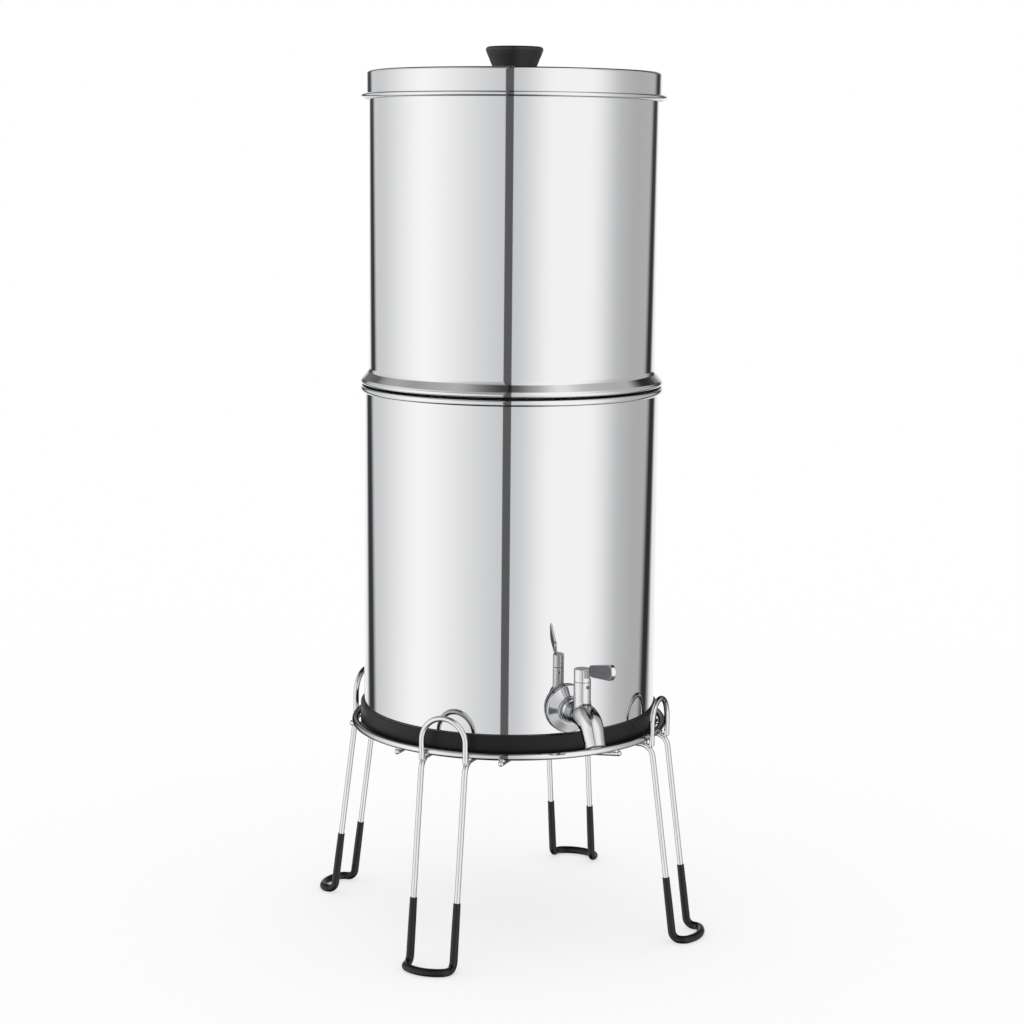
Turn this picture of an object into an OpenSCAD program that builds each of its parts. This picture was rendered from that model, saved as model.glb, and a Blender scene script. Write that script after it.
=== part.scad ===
// Gravity water filter with tap: two stacked steel chambers on a wire stand.
// Millimetres, +Z up. The origin is on the floor, on the axis of the chambers; the tap faces -Y.

/* [Stand] */
// Height of the support ring's wire centre above the floor
ring_z = 150; // [120:1:200]
// Radius of the support ring's wire centre line
ring_r = 114.6; // [114:0.1:118]
// Thickness of the support ring's wire
ring_d = 5; // [4:0.5:6]
// Thickness of the leg, arch and cross bar wires
wire_d = 4; // [3.5:0.1:4.5]
// Distance between the two wires of a leg
leg_pair = 33.5; // [28:0.5:38]
// Outward lean of a leg from the vertical, degrees
leg_lean = 7.5; // [5:0.5:10]
// Distance of a leg wire from the axis at the top of its sleeve
leg_reach = 131.8; // [129:0.1:134]
// Height of the sleeves' top ends above the floor
sleeve_top = 48; // [35:1:60]
// Outer thickness of a foot sleeve
sleeve_d = 5.8; // [5.2:0.1:7]
// Height of an arch's wire centre above the support ring
arch_rise = 26; // [20:1:32]
// Distance of the upper cross bars from the axis
bar_upper_off = 40; // [36:1:46]
// Distance of the lower cross bars from the axis
bar_lower_off = 50; // [44:1:58]

/* [Lower chamber] */
// Outer radius of the lower chamber
low_r = 108; // [107.5:0.1:108.5]
// Height of the lower chamber from its bottom to the top of its rim
low_h = 251; // [220:1:280]
// Wall thickness of both chambers
wall = 0.8; // [0.6:0.1:1]
// Outer radius of the rubber base ring
base_ring_r = 110.6; // [110:0.1:111.5]
// Height of the rubber base ring
base_ring_h = 16.2; // [14:0.1:20]

/* [Upper chamber and lid] */
// Outer radius of the upper chamber
up_r = 105; // [104.5:0.1:105.5]
// Height of the upper chamber above its shoulder's underside
up_h = 224.8; // [200:0.1:240]
// Depth of the step that sits inside the lower chamber
nest_h = 11; // [8:1:16]
// Outer radius of the lid's wall
lid_r = 106.7; // [106.7:0.1:107.2]
// Height of the lid's wall above the middle of its bead
lid_h = 17.9; // [15:0.1:22]
// Outer radius of the lid's bead and of the shoulder
bead_r = 111; // [110.6:0.1:111.4]
// Radius of the knob at its widest
knob_r = 20.8; // [18:0.1:24]
// Height of the knob
knob_h = 18.3; // [16:0.1:22]

/* [Filter elements] */
// Distance of a filter element from the axis
element_off = 46; // [40:1:52]
// Radius of a carbon block
block_r = 28; // [24:1:32]
// Height of a carbon block
block_h = 186; // [150:1:195]

/* [Tap] */
// Height of the tap's centre line above the floor
tap_z = 183; // [182:1:200]
// Distance of the valve's upright axis from the chamber's axis
valve_x = 132.8; // [130:0.1:136]
// Radius of the round cover plate
plate_r = 17; // [16:0.5:20]
// Radius of the spout's end
spout_r = 7.1; // [6.5:0.1:7.5]
// Radius of the waterway
bore_r = 4.6; // [4:0.1:5]
// Radius of the valve housing and of the lever's cap
housing_r = 5.95; // [5.8:0.05:6.5]
// Height of the seam between housing and lever cap above the tap's centre line
seam_h = 23.7; // [22:0.1:28]
// Length of the lever from the valve's axis
lever_l = 51.4; // [40:0.1:60]
// Sideways thickness of the lever
lever_t = 3.4; // [3:0.1:5]

/* [Hidden] */
$fn = 96;
weld = 0.3;                 // how deep crossing wires are pressed into each other
slip = 0.05;                // clearance of parts that slide into each other
cut = 1;                    // how far a cutter stands out of what it cuts
// stand
bar_z = ring_z - ring_d / 2 - wire_d / 2 + weld;
bar_low_z = bar_z - wire_d + weld;
bar_reach = ring_r + ring_d / 2 + 1.7;
bend_top = 10;              // bend radius under the ring
bend_foot = 6;              // bend radius at the floor
toe_corner = 7;             // corner radius of the foot's toe
toe_turn = 60;              // angle that each toe corner turns
foot_z = sleeve_d / 2 + 0.01;
arch_u = ring_r + ring_d / 2 + wire_d / 2;
// directions of the four legs, from +X
FRONT_LEFT = -135;
FRONT_RIGHT = -45;
BACK_LEFT = 135;
BACK_RIGHT = 45;
// chambers
base_ring_z = bar_z + wire_d / 2 + slip;
low_z = base_ring_z + 2.2;
low_bend = 7;
rim_r = 1.95;               // half the thickness of the rolled rim
rim_top = low_z + low_h;
shoulder_z = rim_top + 0.1;
floor_z = shoulder_z - nest_h;
nest_r = low_r - wall - 2.8;
shoulder_h = 11.5;          // from the shoulder's underside to the straight wall
up_top = shoulder_z + up_h;
hem_r = 0.75;               // half the thickness of the hem at the top edge
lid_t = 0.7;
lid_in = up_top + 0.15;     // underside of the lid's top
lid_top = lid_in + lid_t;
lid_bead_z = lid_top - lid_h;
lid_bead = 1.85;
knob_z = lid_top;
// fasteners of the lid
screw_r = 2.5;
insert_r = 4;
washer_t = 1.2;
// filter elements
element_z = floor_z + wall; // top of the chamber's floor
stem_r = 5;
stem_hole_r = 5.3;
seal_t = 2;
base_z = element_z + seal_t;
base_h = 10.7;
block_z = base_z + base_h;
top_cap_h = 7;
nut_h = 8;
// tap, drawn with +X pointing out of the wall and turned to -Y
shank_r = 8;
shank_in = 91;
plate_back = low_r + 1.9;
plate_front = low_r + 7;
plate_t = 1;
collar_r = 9.8;
collar_t = 1.2;
neck_r = 6.8;
belly_r = 9.7;
spout_turn = 62;
spout_bend = 17.2;
bend_x = valve_x + 3.6;
tip_l = 9.4;
outlet_l = 4.6;             // straight end of the spout
horn_r = [belly_r, 9.5, 9.1, 8.5, 7.9];
plug_r = 4.4;
plug_top_r = 3.2;
way_r = 3.4;                // radius of the plug's cross hole
seam_z = tap_z + seam_h;
cap_h = 9.1;
cap_gap = 0.15;
pin_r = 1.3;
pin_z = seam_z - 3.4;
pin_turn = 16;
groove_z = [7, 16];         // heights of the two ring grooves above the centre line

// ---- shared shapes ----

// Wires are chained: each stretch starts at the origin heading +Z, and its children go on from its end.
// A short band a hair thicker than the wire covers each joint.
module joint(d) {
    cylinder(h = 0.4, d = d + 0.02, center = true);
}

module run(length, d, joined = true) {
    if (joined) joint(d);
    cylinder(h = length, d = d);
    translate([0, 0, length]) children();
}

// Bend on radius r towards +X through angle
module bend(r, angle, d, joined = true) {
    if (joined) joint(d);
    translate([r, 0, 0]) rotate([90, 0, 180]) rotate_extrude(angle = angle)
        translate([r, 0]) circle(d = d);
    translate([r, 0, 0]) rotate([0, angle, 0]) translate([-r, 0, 0]) children();
}

// Half outline of a pot from the axis: radius r, from z0 to z1, with a rounded bottom edge
module pot_2d(r, z0, z1, bend) {
    translate([0, z0]) square([r - bend, z1 - z0]);
    translate([0, z0 + bend]) square([r, z1 - z0 - bend]);
    translate([r - bend, z0 + bend]) circle(bend);
}

// Half outline of a thin-walled pot
module pot_wall_2d(r, z0, z1, bend, t) {
    difference() {
        intersection() {
            pot_2d(r, z0, z1, bend);
            translate([0, z0]) square([r, z1 - z0]);
        }
        pot_2d(r - t, z0 + t, z1 + cut, bend - t);
    }
}

module ring(r_out, r_in, z, h) {
    translate([0, 0, z]) difference() {
        cylinder(h = h, r = r_out);
        translate([0, 0, -cut]) cylinder(h = h + 2 * cut, r = r_in);
    }
}

module at_elements() {
    for (side = [-1, 1]) translate([side * element_off, 0, 0]) children();
}

module at_plugs() {
    for (side = [-1, 1]) translate([0, side * element_off, 0]) children();
}

module at_tap() {
    rotate([0, 0, -90]) children();
}

// Lays a shape drawn round +Z along the tap's +X, starting at distance x
module along_tap(x) {
    translate([x, 0, tap_z]) rotate([0, 90, 0]) children();
}

// ---- stand ----

leg_slope = tan(leg_lean);
function leg_u(z) = leg_reach + (sleeve_top - z) * leg_slope;

top_bend_z = bar_z - bend_top * (1 - sin(leg_lean));
foot_start_z = foot_z + bend_foot * (1 - sin(leg_lean));
foot_bend_u = leg_u(foot_start_z) + bend_foot * cos(leg_lean);
toe_bend = toe_corner + (leg_pair / 2 - toe_corner) / cos(toe_turn);
toe_tip = foot_bend_u - (toe_bend - toe_corner) * sin(toe_turn) + toe_bend;

module both_wires() {
    children();
    mirror([0, 1, 0]) children();
}

// Half a foot on +Y from the tip of the toe to the start of the slanted run, then children
module foot_half(d) {
    translate([toe_tip, 0, foot_z]) rotate([-90, 0, 0]) rotate([0, 0, 180])
        bend(toe_bend, 90 - toe_turn, d, false) bend(toe_corner, toe_turn, d)
        rotate([0, 0, 90]) bend(bend_foot, 90 - leg_lean, d) children();
}

// Whole wire from end to end: feet, slanted runs up to z_top, then children
module leg_course(z_top, d) {
    translate([toe_tip, 0, foot_z]) rotate([90, 0, 0]) joint(d);
    both_wires() foot_half(d) run((z_top - foot_start_z) / cos(leg_lean), d) children();
}

// One U-bent leg, drawn towards +X, whose wires end at distance inner_u under the chambers
module leg_wire(inner_u) {
    inward = leg_u(top_bend_z) - bend_top * cos(leg_lean) - inner_u;
    leg_course(top_bend_z, wire_d)
        rotate([0, 0, 180]) bend(bend_top, 90 - leg_lean, wire_d) run(inward, wire_d);
}

module sleeve() {
    difference() {
        leg_course(sleeve_top, sleeve_d);
        leg_course(sleeve_top + cut, wire_d + slip);
    }
}

// Arch whose feet are buried in the leg's top bends
module arch() {
    foot = bar_z - 1;
    straight = ring_z + arch_rise - leg_pair / 2 - foot;
    translate([arch_u, -leg_pair / 2, foot]) rotate([0, 0, 90])
        run(straight, wire_d, false) bend(leg_pair / 2, 180, wire_d) run(straight, wire_d);
}

// Two straight wires along X at distance off on each side of the axis
module bar_pair(off, z) {
    half = sqrt(pow(bar_reach, 2) - pow(off, 2));
    both_wires() translate([-half, off, z]) rotate([0, 90, 0]) cylinder(h = 2 * half, d = wire_d);
}

module support_ring() {
    color("silver") translate([0, 0, ring_z]) rotate_extrude() translate([ring_r, 0]) circle(d = ring_d);
}

module cross_bars_upper() {
    color("silver") rotate([0, 0, BACK_RIGHT]) bar_pair(bar_upper_off, bar_z);
}

// The lower bars run under the upper ones and rise from there to the underside of the ring
low_bar_corner = 49;
low_bar_ring = sqrt(pow(ring_r, 2) - pow(bar_lower_off, 2));
low_bar_rise = atan((bar_z - bar_low_z) / (low_bar_ring - low_bar_corner));
low_bar_bend = 60;

module low_bar_half() {
    start = low_bar_corner - low_bar_bend * tan(low_bar_rise / 2);
    end = sqrt(pow(bar_reach, 2) - pow(bar_lower_off, 2));
    rotate([0, 90, 0]) rotate([0, 0, 180]) run(start, wire_d) bend(low_bar_bend, low_bar_rise, wire_d)
        run((end - low_bar_corner) / cos(low_bar_rise) - low_bar_corner + start, wire_d);
}

module cross_bars_lower() {
    color("silver") rotate([0, 0, BACK_LEFT]) both_wires() translate([0, bar_lower_off, bar_low_z]) {
        low_bar_half();
        mirror([1, 0, 0]) low_bar_half();
    }
}

// Legs along the upper bars lie on the lower bars; the other two meet the upper bars end on
over_bar_end = bar_lower_off - 7;
side_bar_end = bar_upper_off + wire_d / 2 - weld;

module leg(turn, inner_u) {
    color("silver") rotate([0, 0, turn]) leg_wire(inner_u);
}

module leg_arch(turn) {
    color("silver") rotate([0, 0, turn]) arch();
}

module foot_sleeve(turn) {
    color("#222222") rotate([0, 0, turn]) sleeve();
}

// ---- chambers ----

module base_ring() {
    edge = 0.8;
    inner = low_r + slip;
    color("#222222") rotate_extrude() difference() {
        polygon([[97, base_ring_z], [base_ring_r, base_ring_z],
            [base_ring_r, base_ring_z + base_ring_h - edge],
            [base_ring_r - edge, base_ring_z + base_ring_h],
            [97, base_ring_z + base_ring_h]]);
        pot_2d(inner, low_z, low_z + low_h, low_bend + slip);
        translate([0, low_z]) square([inner - low_bend, base_ring_h]);
    }
}

module lower_chamber() {
    color("gainsboro") difference() {
        rotate_extrude() {
            pot_wall_2d(low_r, low_z, rim_top - rim_r, low_bend, wall);
            translate([low_r - wall + rim_r, rim_top - rim_r]) circle(rim_r);
        }
        at_tap() along_tap(low_r - 2 * low_bend) cylinder(h = 4 * low_bend, r = shank_r + 0.2);
    }
}

module upper_chamber() {
    rim = 1.6;
    color("gainsboro") difference() {
        rotate_extrude() {
            pot_wall_2d(nest_r, floor_z, shoulder_z + 2, 4, wall);
            // shoulder: underside, rounded rim and cone up to the straight wall
            polygon([[nest_r - wall, shoulder_z], [bead_r - rim - 0.8, shoulder_z],
                [bead_r - rim, shoulder_z + 0.7], [bead_r - 0.3, shoulder_z + 3.2],
                [up_r + 1.1, shoulder_z + 9], [up_r, shoulder_z + shoulder_h],
                [up_r - wall, shoulder_z + shoulder_h], [nest_r - wall, shoulder_z + 9]]);
            translate([bead_r - rim, shoulder_z + 2.2]) circle(rim);
            translate([up_r - wall, shoulder_z + shoulder_h])
                square([wall, up_h - shoulder_h - hem_r]);
            translate([up_r - 0.1, up_top - hem_r]) circle(hem_r);
        }
        at_elements() translate([0, 0, floor_z - cut]) cylinder(h = 3 * cut, r = stem_hole_r);
        at_plugs() translate([0, 0, floor_z - cut]) cylinder(h = 3 * cut, r = stem_hole_r);
    }
}

module lid() {
    color("gainsboro") difference() {
        rotate_extrude() {
            translate([0, lid_top]) mirror([0, 1])
                pot_wall_2d(lid_r, 0, lid_h + 0.4, 2, lid_t);
            translate([lid_r - lid_t, lid_bead_z - 0.4]) square([bead_r - lid_bead - lid_r + lid_t, 0.8]);
            translate([bead_r - lid_bead, lid_bead_z]) circle(lid_bead);
        }
        translate([0, 0, lid_in - cut]) cylinder(h = 3 * cut, r = screw_r + 0.25);
    }
}

// Flat-topped knob whose side widens upwards to a rounded rim
module lid_knob() {
    rim = 2.2;
    color("#1c1c1c") difference() {
        translate([0, 0, knob_z]) rotate_extrude() {
            polygon([[0, 0], [14.2, 0], [16.1, 4.2], [17.9, 8.6], [19.5, 12.2], [knob_r - 0.15, 15.2],
                [knob_r - 0.02, knob_h - rim], [knob_r - rim, knob_h - rim], [knob_r - rim, knob_h],
                [0, knob_h]]);
            translate([knob_r - rim, knob_h - rim]) circle(rim);
        }
        translate([0, 0, knob_z - cut]) cylinder(h = 13, r = insert_r + slip / 2);
    }
}

module knob_insert() {
    color("darkgoldenrod") ring(insert_r, screw_r + slip, knob_z + 0.3, 11);
}

module knob_screw() {
    head_z = lid_in - washer_t - 3.2;
    color("silver") difference() {
        union() {
            translate([0, 0, head_z]) cylinder(h = 3.2, r = 4.6);
            translate([0, 0, head_z + 2]) cylinder(h = 14, r = screw_r);
        }
        for (turn = [0, 90]) rotate([0, 0, turn])
            translate([-2.6, -0.5, head_z - cut]) cube([5.2, 1, cut + 1.6]);
    }
}

module knob_washer() {
    color("silver") ring(8, screw_r + 0.2, lid_in - washer_t, washer_t);
}

// ---- filter elements ----

module filter_block() {
    color("#2a2a2a") ring(block_r, 9, block_z, block_h);
}

module filter_top() {
    cap_z = block_z + block_h;
    color("#1f1f1f") {
        translate([0, 0, cap_z]) cylinder(h = top_cap_h, r = block_r + 1);
        ring(block_r + 1, block_r + slip, cap_z - 5, 5.5);
    }
}

module filter_base() {
    color("#1f1f1f") difference() {
        union() {
            translate([0, 0, base_z]) cylinder(h = base_h, r = block_r + 1.5);
            ring(block_r + 1.5, block_r + slip, block_z - 0.5, 5.5);
            translate([0, 0, floor_z - 24]) cylinder(h = base_z - floor_z + 26, r = stem_r);
        }
        translate([0, 0, floor_z - 24 - cut]) cylinder(h = 24 + 20 + cut, r = 2.2);
    }
}

module stem_washers() {
    color("#d8d8d8") at_elements() ring(12, stem_hole_r, element_z, seal_t);
}

module wing_nuts() {
    color("#e8e8e4") at_elements() difference() {
        union() {
            translate([0, 0, floor_z - nut_h]) cylinder(h = nut_h, r = 8.5);
            for (side = [-1, 1]) translate([side * 12 - 5.5, -1.3, floor_z - nut_h - 4])
                cube([11, 2.6, nut_h + 2]);
        }
        translate([0, 0, floor_z - nut_h - 6]) cylinder(h = nut_h + 8, r = stem_r + slip);
    }
}

module blanking_plugs() {
    color("#e8e8e4") at_plugs() {
        translate([0, 0, base_z]) cylinder(h = 4, r = 9);
        translate([0, 0, floor_z - 14]) cylinder(h = base_z - floor_z + 15, r = stem_r);
    }
}

module plug_washers() {
    color("#d8d8d8") at_plugs() ring(9, stem_hole_r, element_z, seal_t);
}

module plug_nuts() {
    color("#e8e8e4") at_plugs() translate([0, 0, floor_z - nut_h]) difference() {
        cylinder(h = nut_h, r = 9.8, $fn = 6);
        translate([0, 0, -cut]) cylinder(h = nut_h + 2 * cut, r = stem_r + slip);
    }
}

// ---- tap ----

// Straight run from distance x and the bend downwards, then children
module spout_course(x, r) {
    along_tap(x) run(bend_x - x, 2 * r, false) bend(spout_bend, spout_turn, 2 * r) children();
}

// Bend of the casting: short cones whose radii are horn_r, turned a step further at every ball joint
module horn(i = 0) {
    last = len(horn_r) - 1;
    step = spout_turn / last;
    chord = 2 * spout_bend * sin(step / 2);
    sphere(r = horn_r[i] + 0.02);
    rotate([0, i == 0 || i == last ? step / 2 : step, 0]) if (i < last) {
        cylinder(h = chord, r1 = horn_r[i], r2 = horn_r[i + 1]);
        translate([0, 0, chord]) horn(i + 1);
    } else spout_end();
}

// Tapering tip and the straight outlet
module spout_end() {
    taper = tip_l - outlet_l;
    cylinder(h = taper, r1 = horn_r[len(horn_r) - 1], r2 = spout_r);
    translate([0, 0, taper - 0.5]) cylinder(h = outlet_l + 0.5, r = spout_r);
}

// Neck of the casting from the collar, swelling towards the bend
module neck_2d() {
    s = plate_front;
    polygon([[0, s], [8.2, s], [8.2, s + collar_t], [neck_r + 0.5, s + 2.2], [neck_r + 0.1, s + 3.6],
        [neck_r, s + 6], [neck_r + 0.1, s + 11], [neck_r + 0.8, s + 13.6], [belly_r - 1, s + 16],
        [belly_r - 0.3, s + 18.2], [belly_r, bend_x], [0, bend_x]]);
}

module tap_body() {
    color("silver") at_tap() difference() {
        union() {
            along_tap(shank_in) cylinder(h = plate_front + 1 - shank_in, r = shank_r);
            along_tap(plate_front) cylinder(h = collar_t, r = collar_r);
            along_tap(0) rotate_extrude() neck_2d();
            along_tap(bend_x) horn();
            translate([valve_x, 0, tap_z]) cylinder(h = seam_h, r = housing_r);
        }
        along_tap(shank_in - cut) cylinder(h = valve_x - shank_in, r = bore_r);
        spout_course(valve_x - 2, bore_r) run(tip_l + cut, 2 * bore_r);
        translate([valve_x, 0, tap_z - 6.2]) cylinder(h = seam_h + 8, r = plug_r + slip);
        translate([valve_x, 0, pin_z]) rotate([0, 90, pin_turn]) cylinder(h = 8, r = pin_r + 0.02);
    }
}

// Cover plate: a rim round the wall, a cone forward to the collar and a boss back to the washer
module tap_escutcheon() {
    face = low_r + 4.2;
    hole = shank_r + 0.2;
    boss = collar_r + 0.6;
    slope = (plate_front - face) / (plate_r - 0.4 - boss);
    thick = plate_t * sqrt(1 + slope * slope);
    inner = plate_r - plate_t;
    color("silver") at_tap() along_tap(0) rotate_extrude() polygon([
        [hole, plate_back], [boss, plate_back], [boss, plate_front - thick],
        [inner, plate_front - thick - slope * (inner - boss)], [inner, low_r + 0.4],
        [plate_r, low_r + 0.4], [plate_r, face - 0.4], [plate_r - 0.4, face],
        [boss, plate_front], [hole, plate_front]]);
}

module tap_outer_washer() {
    color("#d8d8d8") at_tap() difference() {
        along_tap(low_r - 4) cylinder(h = plate_back - low_r + 4, r = 13);
        along_tap(low_r - 5) cylinder(h = 10, r = shank_r + 0.1);
        cylinder(h = 2 * tap_z, r = low_r + slip, $fn = 720);
    }
}

module tap_inner_washer() {
    nut_face = low_r - 4.6;
    color("#d8d8d8") at_tap() intersection() {
        difference() {
            along_tap(nut_face) cylinder(h = 6, r = 13);
            along_tap(nut_face - 1) cylinder(h = 8, r = shank_r + 0.1);
        }
        cylinder(h = 2 * tap_z, r = low_r - wall - slip, $fn = 720);
    }
}

module tap_lock_nut() {
    color("silver") at_tap() along_tap(low_r - 4.6 - 7) difference() {
        cylinder(h = 7, r = 13.8, $fn = 6);
        translate([0, 0, -cut]) cylinder(h = 7 + 2 * cut, r = shank_r + slip);
    }
}

module tap_pin() {
    color("dimgray") at_tap() translate([valve_x, 0, pin_z]) rotate([0, 90, pin_turn])
        translate([0, 0, 3.7]) cylinder(h = housing_r + 0.35 - 3.7, r = pin_r);
}

module tap_plug() {
    color("khaki") at_tap() translate([valve_x, 0, 0]) difference() {
        union() {
            translate([0, 0, tap_z - 6]) cylinder(h = seam_h + 5.9, r = plug_r);
            translate([0, 0, seam_z - 1]) cylinder(h = 6.6, r = plug_top_r);
        }
        translate([0, 2 * plug_r, tap_z]) rotate([90, 0, 0]) cylinder(h = 4 * plug_r, r = way_r);
        for (h = groove_z) groove(tap_z + h, 1.2);
        groove(pin_z, 2.8);
    }
}

module groove(z, width) {
    ring(plug_r + cut, 3.45, z - width / 2, width);
}

module plug_rings() {
    color("#222222") at_tap() for (h = groove_z) translate([valve_x, 0, tap_z + h])
        rotate_extrude() translate([3.95, 0]) circle(0.46);
}

// Outline of the paddle, which rises outwards and grows taller
module paddle_2d() {
    hull() {
        translate([17.95, 11]) circle(4.2);
        translate([lever_l - 4.7, 16.8]) circle(4.7);
        translate([lever_l - 6.2, 15.1]) circle(4.8);
    }
}

// Cap, neck and paddle in one casting
module tap_lever() {
    u0 = housing_r;
    color("silver") at_tap() translate([valve_x, 0, seam_z]) difference() {
        union() {
            translate([0, 0, cap_gap]) cylinder(h = cap_h - cap_gap - 0.5, r = housing_r);
            translate([0, 0, cap_h - 0.5]) cylinder(h = 0.5, r1 = housing_r, r2 = housing_r - 0.5);
            translate([0, lever_t / 2 - 0.3, 0]) rotate([90, 0, 0]) linear_extrude(lever_t - 0.6)
                polygon([[u0 - 2, 2.6], [u0 + 2, 3.8], [15, 5], [17, 10], [15.5, 10.8], [u0 - 2, 8.4]]);
            translate([0, lever_t / 2, 0]) rotate([90, 0, 0]) linear_extrude(lever_t) paddle_2d();
        }
        cylinder(h = 6, r = plug_top_r + slip);
        translate([0, 0, 3.4]) rotate([0, -90, 0]) cylinder(h = 8, r = 1.5);
    }
}

module lever_screw() {
    color("dimgray") at_tap() translate([valve_x, 0, seam_z + 3.4]) rotate([0, -90, 0])
        translate([0, 0, plug_top_r + slip]) cylinder(h = housing_r - plug_top_r - 0.4, r = 1.47);
}

// ---- nodes ----

lid_knob();
knob_insert();
knob_screw();
knob_washer();
lid();
upper_chamber();
translate([-element_off, 0, 0]) filter_block();  // filter_block_left
translate([element_off, 0, 0]) filter_block();  // filter_block_right
translate([-element_off, 0, 0]) filter_top();  // filter_top_left
translate([element_off, 0, 0]) filter_top();  // filter_top_right
translate([-element_off, 0, 0]) filter_base();  // filter_base_left
translate([element_off, 0, 0]) filter_base();  // filter_base_right
stem_washers();
wing_nuts();
blanking_plugs();
plug_washers();
plug_nuts();
lower_chamber();
base_ring();
tap_body();
tap_escutcheon();
tap_outer_washer();
tap_inner_washer();
tap_lock_nut();
tap_pin();
tap_plug();
plug_rings();
tap_lever();
lever_screw();
support_ring();
cross_bars_upper();
cross_bars_lower();
leg(FRONT_LEFT, over_bar_end);  // leg_front_left
leg(FRONT_RIGHT, side_bar_end);  // leg_front_right
leg(BACK_LEFT, side_bar_end);  // leg_back_left
leg(BACK_RIGHT, over_bar_end);  // leg_back_right
leg_arch(FRONT_LEFT);  // arch_front_left
leg_arch(FRONT_RIGHT);  // arch_front_right
leg_arch(BACK_LEFT);  // arch_back_left
leg_arch(BACK_RIGHT);  // arch_back_right
foot_sleeve(FRONT_LEFT);  // sleeve_front_left
foot_sleeve(FRONT_RIGHT);  // sleeve_front_right
foot_sleeve(BACK_LEFT);  // sleeve_back_left
foot_sleeve(BACK_RIGHT);  // sleeve_back_right
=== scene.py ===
"""Gravity water filter: two polished steel chambers with a lever tap, on a chromed wire stand.

Lengths are written in millimetres and turned to metres as each mesh is made. The tap faces -Y.
"""

import math

import bpy
import numpy as np
from mathutils import Matrix


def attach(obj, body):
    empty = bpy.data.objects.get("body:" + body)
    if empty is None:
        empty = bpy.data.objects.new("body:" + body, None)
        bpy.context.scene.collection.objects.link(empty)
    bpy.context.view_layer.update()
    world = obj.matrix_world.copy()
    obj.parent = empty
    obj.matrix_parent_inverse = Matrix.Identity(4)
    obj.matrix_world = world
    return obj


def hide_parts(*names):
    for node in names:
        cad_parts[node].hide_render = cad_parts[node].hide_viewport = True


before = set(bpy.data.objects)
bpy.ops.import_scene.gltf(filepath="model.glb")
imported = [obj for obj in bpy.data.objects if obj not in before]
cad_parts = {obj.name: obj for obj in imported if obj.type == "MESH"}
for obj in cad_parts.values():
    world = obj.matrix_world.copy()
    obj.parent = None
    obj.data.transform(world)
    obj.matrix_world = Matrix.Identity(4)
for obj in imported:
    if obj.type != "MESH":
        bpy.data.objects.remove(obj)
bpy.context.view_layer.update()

MM = 0.001
TURN = 2 * math.pi

# ---- sizes, as in the part's source ----

RING_Z, RING_R, RING_D, WIRE_D = 150.0, 114.6, 5.0, 4.0
LEG_PAIR, LEG_LEAN, LEG_REACH, SLEEVE_TOP, SLEEVE_D = 33.5, 7.5, 131.8, 48.0, 5.8
BAR_Z = RING_Z - RING_D / 2 - WIRE_D / 2 + 0.3
BAR_LOW_Z = BAR_Z - WIRE_D + 0.3
BAR_OFF, BAR_LOW_OFF, BAR_LOW_RISE = 40, 50, 0.0684
BASE_Z = BAR_Z + WIRE_D / 2 + 0.05
LOW_Z = BASE_Z + 2.2
LOW_R, WALL = 108.0, 0.8
RIM_TOP = LOW_Z + 251.0
SHOULDER_Z = RIM_TOP + 0.1
FLOOR_Z = SHOULDER_Z - 11.0
NEST_R = LOW_R - WALL - 2.8
UP_R, UP_TOP, BEAD_R = 105.0, SHOULDER_Z + 224.8, 111.0
LID_R, LID_IN, LID_T = 106.7, UP_TOP + 0.15, 0.7
LID_TOP = LID_IN + LID_T
LID_BEAD_Z = LID_TOP - 17.9
TAP_Z, VALVE_S, PLATE_S = 183.0, 132.8, 115.0
BODY_Z = TAP_Z - 0.8
SEAM_Z = TAP_Z + 23.7
LEG_TURNS = {"front_left": -135.0, "front_right": -45.0, "back_left": 135.0, "back_right": 45.0}


# ---- meshes ----

def grid_faces(rows, cols, wrap_rows):
    """Quads between neighbours of a grid of points that is numbered row by row, each row being a ring."""
    i, j = np.meshgrid(np.arange(rows if wrap_rows else rows - 1), np.arange(cols), indexing="ij")
    i2, j2 = (i + 1) % rows, (j + 1) % cols
    quads = np.stack([i * cols + j, i * cols + j2, i2 * cols + j2, i2 * cols + j], axis=-1)
    return quads.reshape(-1, 4).tolist()


def fan_faces(row_start, cols, pole, outward_last):
    """Triangles from one ring of points to a pole, for a cap at the last or the first ring."""
    j = np.arange(cols) + row_start
    j2 = (np.arange(cols) + 1) % cols + row_start
    order = [j, j2, np.full(cols, pole)] if outward_last else [j2, j, np.full(cols, pole)]
    return np.stack(order, axis=-1).tolist()


def closed_grid(rings, first_pole=None, last_pole=None, wrap_rows=False):
    """Rings of points joined to a skin, with an optional pole point at either end."""
    rows, cols = rings.shape[:2]
    points = rings.reshape(-1, 3)
    faces = grid_faces(rows, cols, wrap_rows)
    if first_pole is not None:
        faces += fan_faces(0, cols, len(points), False)
        points = np.vstack([points, first_pole])
    if last_pole is not None:
        faces += fan_faces((rows - 1) * cols, cols, len(points), True)
        points = np.vstack([points, last_pole])
    return points, faces


def joined(*skins):
    """Several (points, faces) pairs as one pair."""
    points, faces, start = [], [], 0
    for p, f in skins:
        points.append(p)
        faces += [[k + start for k in face] for face in f]
        start += len(p)
    return np.vstack(points), faces


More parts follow.
